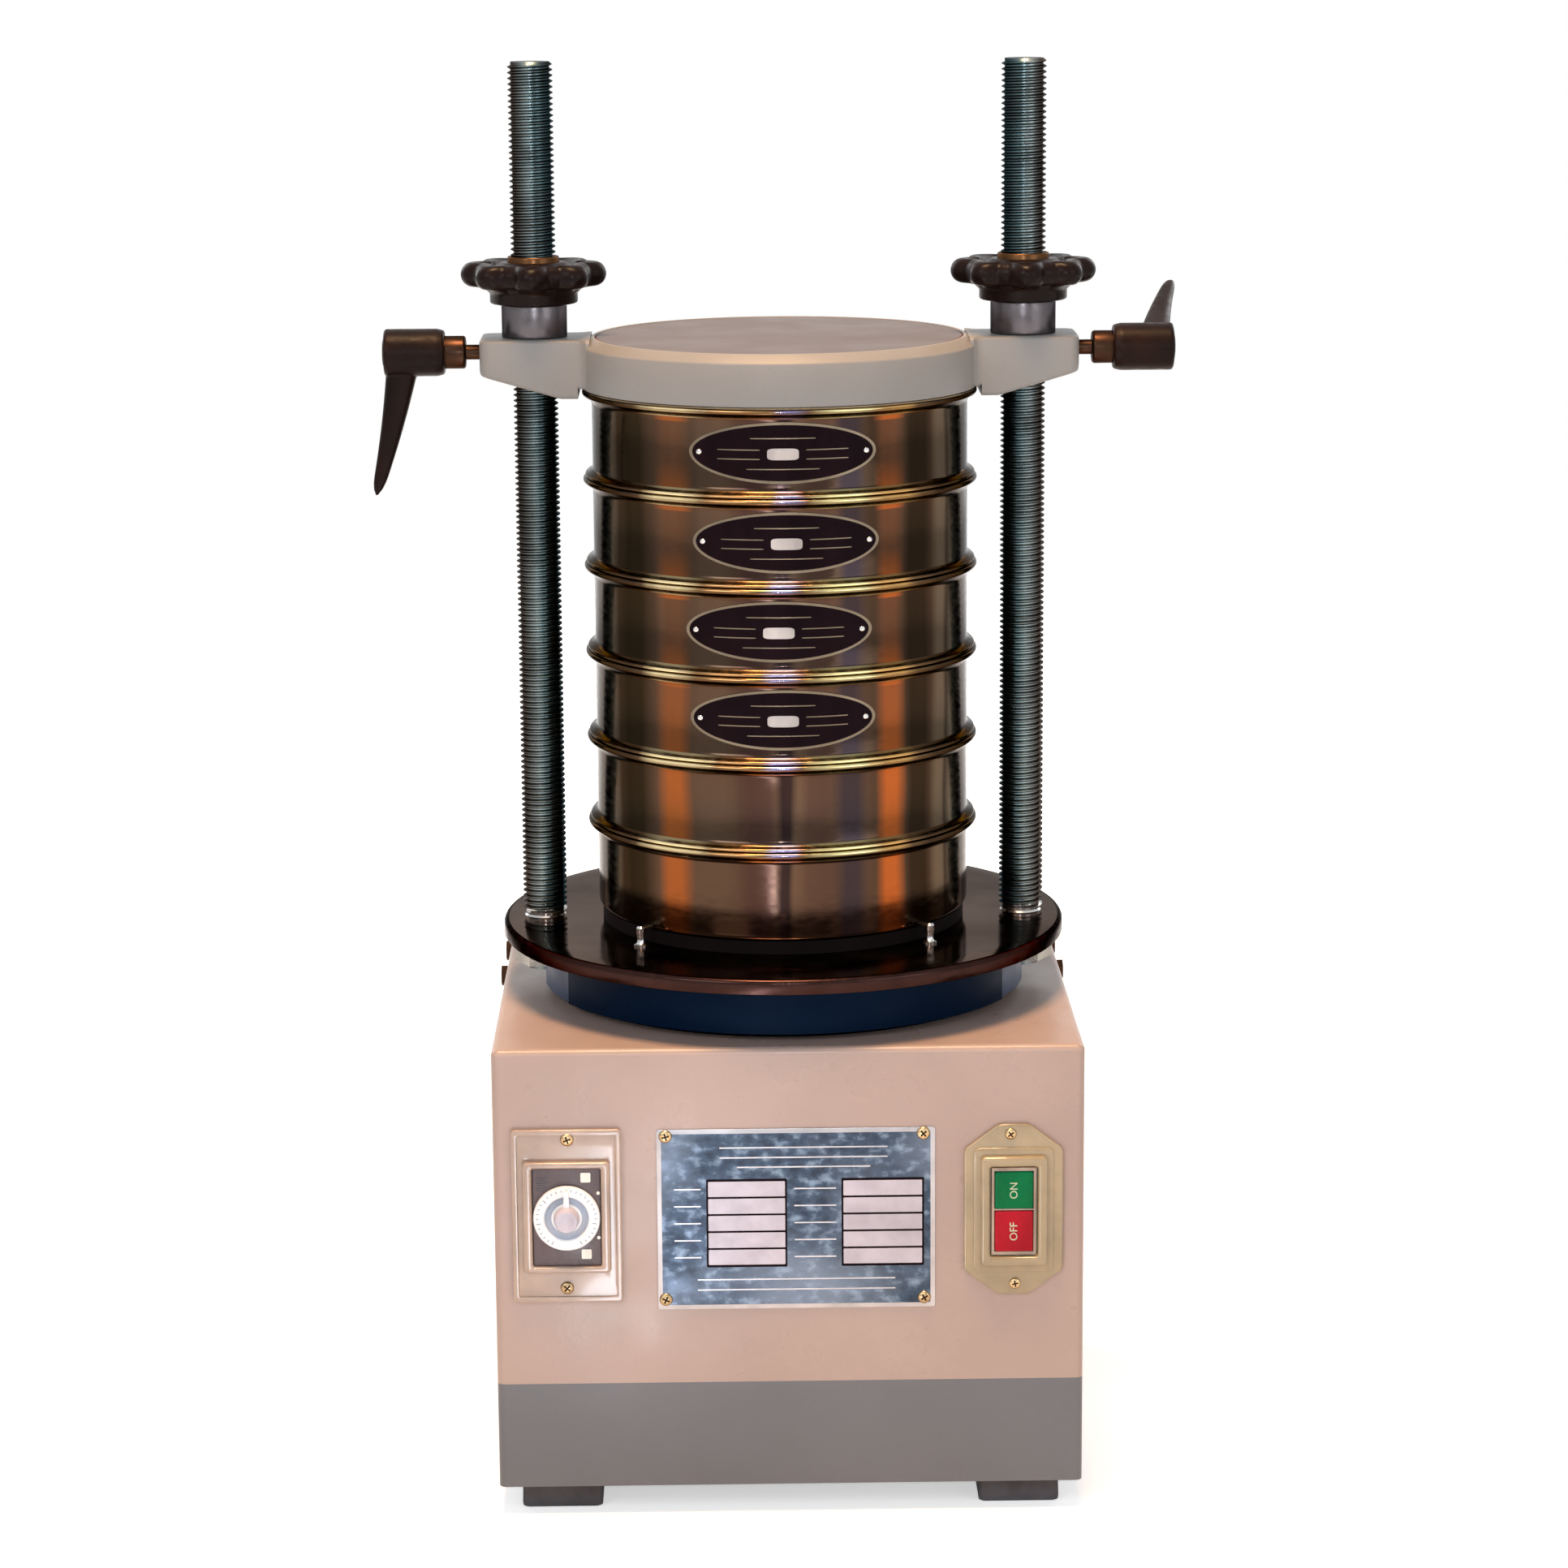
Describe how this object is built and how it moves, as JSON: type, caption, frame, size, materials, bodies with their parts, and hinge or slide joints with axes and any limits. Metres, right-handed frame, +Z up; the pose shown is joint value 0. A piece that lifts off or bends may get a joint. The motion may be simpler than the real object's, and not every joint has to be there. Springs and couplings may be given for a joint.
{
  "type": "sieve shaker",
  "caption": "Bench test-sieve shaker: a sprung tray with a hung vibration motor shakes a sieve stack held under a clamp hoop on threaded rods.",
  "frame": {"origin": "on the bench under the middle of the sieve stack", "axes": "+Z up along the sieve stack, -Y out of the front panel, +X to the right seen from the front"},
  "size_m": [0.4416, 0.3183, 0.758],
  "materials": {
    "cover_paint": "pinkish cream enamel with a light orange peel",
    "pan_paint": "grey enamel",
    "inner_steel": "primed steel",
    "feet_rubber": "matt rubber",
    "spring_rubber": "matt rubber",
    "zinc": "bright zinc plating",
    "tray_steel": "polished stainless sheet",
    "sieve_steel": "polished stainless sheet",
    "mesh_steel": "woven wire cloth",
    "label_black": "black plate with a light border",
    "seat_rubber": "black rubber",
    "skirt_blue": "blue enamel",
    "guard_navy": "dark navy enamel",
    "rod_steel": "zinc plated thread",
    "hoop_paint": "light grey enamel",
    "disc_paint": "light grey enamel",
    "sleeve_steel": "turned steel",
    "wheel_black": "black moulded plastic",
    "insert_brass": "brass",
    "lever_black": "black moulded plastic",
    "stud_steel": "blued steel",
    "motor_paint": "dark enamel",
    "bearing_steel": "ground steel",
    "stator_iron": "laminated iron and copper winding",
    "shaft_steel": "ground steel",
    "weight_iron": "cast iron",
    "bezel_plastic": "clear beige moulding",
    "timer_face": "dark printed face",
    "dial_white": "white moulding",
    "switch_plastic": "translucent yellowish moulding",
    "switch_black": "black moulding",
    "button_green": "green moulding",
    "button_red": "red moulding",
    "plate_metal": "etched aluminium with blank cells",
    "gland_black": "black moulding"
  },
  "bodies": {
    "base": {"base_pan": "pan_paint", "housing_cover": "cover_paint", "rubber_feet": "feet_rubber", "deck_plate": "inner_steel", "deck_posts": "inner_steel", "cover_screws": "zinc", "lower_spring_cups": "zinc", "timer_bezel": "bezel_plastic", "timer_body": "timer_face", "switch_plate": "switch_plastic", "switch_body": "switch_black", "rating_plate": "plate_metal", "cable_gland": "gland_black"},
    "table": {"rubber_springs": "spring_rubber", "upper_spring_cups": "zinc", "vibrating_plate": "inner_steel", "tray": "tray_steel", "skirt_segments": "skirt_blue", "skirt_guards": "guard_navy", "rod_nuts": "zinc", "lock_washers": "zinc", "pan_seat": "seat_rubber", "receiver_pan": "sieve_steel", "sieve_1": "sieve_steel", "sieve_2": "sieve_steel", "sieve_3": "sieve_steel", "sieve_4": "sieve_steel", "sieve_5": "sieve_steel", "sieve_meshes": "mesh_steel", "sieve_labels": "label_black", "stack_lid": "sieve_steel", "pan_clips": "zinc", "left_rod": "rod_steel", "right_rod": "rod_steel", "motor_frame": "motor_paint", "motor_shield": "motor_paint", "motor_bearings": "bearing_steel", "motor_stator": "stator_iron", "motor_bolts": "zinc"},
    "rotor": {"motor_shaft": "shaft_steel", "upper_weight": "weight_iron", "lower_weight": "weight_iron"},
    "hoop": {"clamp_hoop": "hoop_paint", "press_disc": "disc_paint", "guide_sleeves": "sleeve_steel"},
    "left_wheel": {"left_handwheel": "wheel_black", "left_wheel_insert": "insert_brass"},
    "right_wheel": {"right_handwheel": "wheel_black", "right_wheel_insert": "insert_brass"},
    "left_clamp": {"left_lever": "lever_black", "left_lever_stud": "stud_steel"},
    "right_clamp": {"right_lever": "lever_black", "right_lever_stud": "stud_steel"},
    "timer_dial": {"timer_knob": "dial_white"},
    "on_key": {"on_button": "button_green"},
    "off_key": {"off_button": "button_red"}
  },
  "joints": [
    {"name": "table_bounce", "type": "slide", "parent": "base", "child": "table", "axis": [0, 0, 1], "range_m": [-0.003, 0.003], "stiffness_N_per_m": 48000, "springref_m": 0.00449, "deforming": ["rubber_springs"]},
    {"name": "rotor_spin", "type": "hinge", "parent": "table", "child": "rotor", "pos_m": [0, 0, 0.215], "axis": [0, 0, 1], "continuous": true},
    {"name": "hoop_lift", "type": "slide", "parent": "table", "child": "hoop", "axis": [0, 0, 1], "range_m": [0, 0.09]},
    {"name": "left_wheel_spin", "type": "hinge", "parent": "hoop", "child": "left_wheel", "pos_m": [-0.131, 0, 0.64], "axis": [0, 0, 1], "range_deg": [0, 10800]},
    {"name": "right_wheel_spin", "type": "hinge", "parent": "hoop", "child": "right_wheel", "pos_m": [0.131, 0, 0.64], "axis": [0, 0, 1], "range_deg": [0, 10800]},
    {"name": "left_lever_turn", "type": "hinge", "parent": "hoop", "child": "left_clamp", "pos_m": [-0.18, 0, 0.6044], "axis": [-1, 0, 0], "range_deg": [0, 180]},
    {"name": "right_lever_turn", "type": "hinge", "parent": "hoop", "child": "right_clamp", "pos_m": [0.18, 0, 0.6044], "axis": [1, 0, 0], "range_deg": [0, 180]},
    {"name": "timer_turn", "type": "hinge", "parent": "base", "child": "timer_dial", "pos_m": [-0.1166, -0.15, 0.1666], "axis": [0, 1, 0], "range_deg": [0, 300]},
    {"name": "on_press", "type": "slide", "parent": "base", "child": "on_key", "axis": [0, 1, 0], "range_m": [0, 0.003], "stiffness_N_per_m": 400, "springref_m": -0.001},
    {"name": "off_press", "type": "slide", "parent": "base", "child": "off_key", "axis": [0, 1, 0], "range_m": [0, 0.003], "stiffness_N_per_m": 400, "springref_m": -0.001}
  ],
  "couplings": [
    {"joint": "left_wheel_spin", "follows": "hoop_lift", "rad_per_m": 2094.4},
    {"joint": "right_wheel_spin", "follows": "hoop_lift", "rad_per_m": 2094.4}
  ]
}
